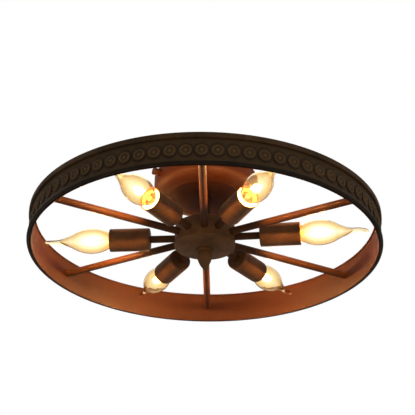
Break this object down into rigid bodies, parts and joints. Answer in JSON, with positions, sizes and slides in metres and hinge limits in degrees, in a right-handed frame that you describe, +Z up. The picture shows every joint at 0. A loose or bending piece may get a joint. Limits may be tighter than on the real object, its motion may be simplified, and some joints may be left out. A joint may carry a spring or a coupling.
{
  "type": "wheel flush mount ceiling light",
  "caption": "Ceiling light shaped as a spoked wheel: a banded rim hangs flat below a round canopy, and candle bulbs point outwards from the hub between the spokes.",
  "frame": {"origin": "centre of the ceiling bracket's top face, on the ceiling plane", "axes": "+Z up into the ceiling, +X along the bracket through both slots and both canopy screws"},
  "size_m": [0.4799, 0.48, 0.14],
  "materials": {
    "rust_paint": "dark rust bronze paint, satin, mottled",
    "zinc_steel": "zinc plated",
    "earth_green": "green passivated steel",
    "terminal_plastic": "satin moulded",
    "wire_insulation": "satin sleeving",
    "porcelain": "white glaze",
    "brass": "bright rolled brass",
    "solder": "dull solder",
    "clear_glass": "clear polished"
  },
  "bodies": {
    "fixture": {"arm_1": "rust_paint", "arm_2": "rust_paint", "arm_3": "rust_paint", "arm_4": "rust_paint", "arm_5": "rust_paint", "arm_6": "rust_paint", "canopy": "rust_paint", "canopy_side_screws": "rust_paint", "ceiling_bracket": "zinc_steel", "cover_bolt": "zinc_steel", "earth_screw": "earth_green", "finial": "rust_paint", "holder_contacts": "brass", "holder_shells": "brass", "hub_cover": "rust_paint", "hub_drum": "rust_paint", "hub_strap": "zinc_steel", "inner_wiring": "wire_insulation", "jam_nuts": "zinc_steel", "lamp_holders": "porcelain", "rim_bottom_bead": "rust_paint", "rim_hoop": "rust_paint", "rim_rosettes": "rust_paint", "rim_top_bead": "rust_paint", "rosette_strip": "rust_paint", "socket_cup_1": "rust_paint", "socket_cup_2": "rust_paint", "socket_cup_3": "rust_paint", "socket_cup_4": "rust_paint", "socket_cup_5": "rust_paint", "socket_cup_6": "rust_paint", "splice_block": "terminal_plastic", "spoke_1": "rust_paint", "spoke_2": "rust_paint", "spoke_3": "rust_paint", "spoke_4": "rust_paint", "spoke_5": "rust_paint", "spoke_6": "rust_paint", "spoke_screws": "zinc_steel", "stem_sleeve": "rust_paint", "stem_tube": "zinc_steel", "terminal_block": "terminal_plastic"},
    "bulb_1_base": {"bulb_1_contact": "solder"},
    "bulb_1": {"bulb_1_cap": "brass", "bulb_1_glass": "clear_glass"},
    "bulb_2_base": {"bulb_2_contact": "solder"},
    "bulb_2": {"bulb_2_cap": "brass", "bulb_2_glass": "clear_glass"},
    "bulb_3_base": {"bulb_3_contact": "solder"},
    "bulb_3": {"bulb_3_cap": "brass", "bulb_3_glass": "clear_glass"},
    "bulb_4_base": {"bulb_4_contact": "solder"},
    "bulb_4": {"bulb_4_cap": "brass", "bulb_4_glass": "clear_glass"},
    "bulb_5_base": {"bulb_5_contact": "solder"},
    "bulb_5": {"bulb_5_cap": "brass", "bulb_5_glass": "clear_glass"},
    "bulb_6_base": {"bulb_6_contact": "solder"},
    "bulb_6": {"bulb_6_cap": "brass", "bulb_6_glass": "clear_glass"}
  },
  "joints": [
    {"name": "bulb_1_travel", "type": "slide", "parent": "fixture", "child": "bulb_1_base", "axis": [0.9063, 0.4226, 0], "range_m": [0, 0.00847]},
    {"name": "bulb_1_turn", "type": "hinge", "parent": "bulb_1_base", "child": "bulb_1", "pos_m": [0.11555, 0.05388, -0.092], "axis": [0.9063, 0.4226, 0], "range_deg": [0, 1080]},
    {"name": "bulb_2_travel", "type": "slide", "parent": "fixture", "child": "bulb_2_base", "axis": [0.0349, 0.9994, 0], "range_m": [0, 0.00847]},
    {"name": "bulb_2_turn", "type": "hinge", "parent": "bulb_2_base", "child": "bulb_2", "pos_m": [0.00445, 0.12742, -0.092], "axis": [0.0349, 0.9994, 0], "range_deg": [0, 1080]},
    {"name": "bulb_3_travel", "type": "slide", "parent": "fixture", "child": "bulb_3_base", "axis": [-0.829, 0.5592, 0], "range_m": [0, 0.00847]},
    {"name": "bulb_3_turn", "type": "hinge", "parent": "bulb_3_base", "child": "bulb_3", "pos_m": [-0.1057, 0.0713, -0.092], "axis": [-0.829, 0.5592, 0], "range_deg": [0, 1080]},
    {"name": "bulb_4_travel", "type": "slide", "parent": "fixture", "child": "bulb_4_base", "axis": [-0.8829, -0.4695, 0], "range_m": [0, 0.00847]},
    {"name": "bulb_4_turn", "type": "hinge", "parent": "bulb_4_base", "child": "bulb_4", "pos_m": [-0.11258, -0.05986, -0.092], "axis": [-0.8829, -0.4695, 0], "range_deg": [0, 1080]},
    {"name": "bulb_5_travel", "type": "slide", "parent": "fixture", "child": "bulb_5_base", "axis": [-0.0698, -0.9976, 0], "range_m": [0, 0.00847]},
    {"name": "bulb_5_turn", "type": "hinge", "parent": "bulb_5_base", "child": "bulb_5", "pos_m": [-0.00889, -0.12719, -0.092], "axis": [-0.0698, -0.9976, 0], "range_deg": [0, 1080]},
    {"name": "bulb_6_travel", "type": "slide", "parent": "fixture", "child": "bulb_6_base", "axis": [0.7986, -0.6018, 0], "range_m": [0, 0.00847]},
    {"name": "bulb_6_turn", "type": "hinge", "parent": "bulb_6_base", "child": "bulb_6", "pos_m": [0.10183, -0.07673, -0.092], "axis": [0.7986, -0.6018, 0], "range_deg": [0, 1080]}
  ],
  "couplings": [
    {"joint": "bulb_1_travel", "follows": "bulb_1_turn", "m_per_rad": 0.00044882},
    {"joint": "bulb_2_travel", "follows": "bulb_2_turn", "m_per_rad": 0.00044882},
    {"joint": "bulb_3_travel", "follows": "bulb_3_turn", "m_per_rad": 0.00044882},
    {"joint": "bulb_4_travel", "follows": "bulb_4_turn", "m_per_rad": 0.00044882},
    {"joint": "bulb_5_travel", "follows": "bulb_5_turn", "m_per_rad": 0.00044882},
    {"joint": "bulb_6_travel", "follows": "bulb_6_turn", "m_per_rad": 0.00044882}
  ]
}
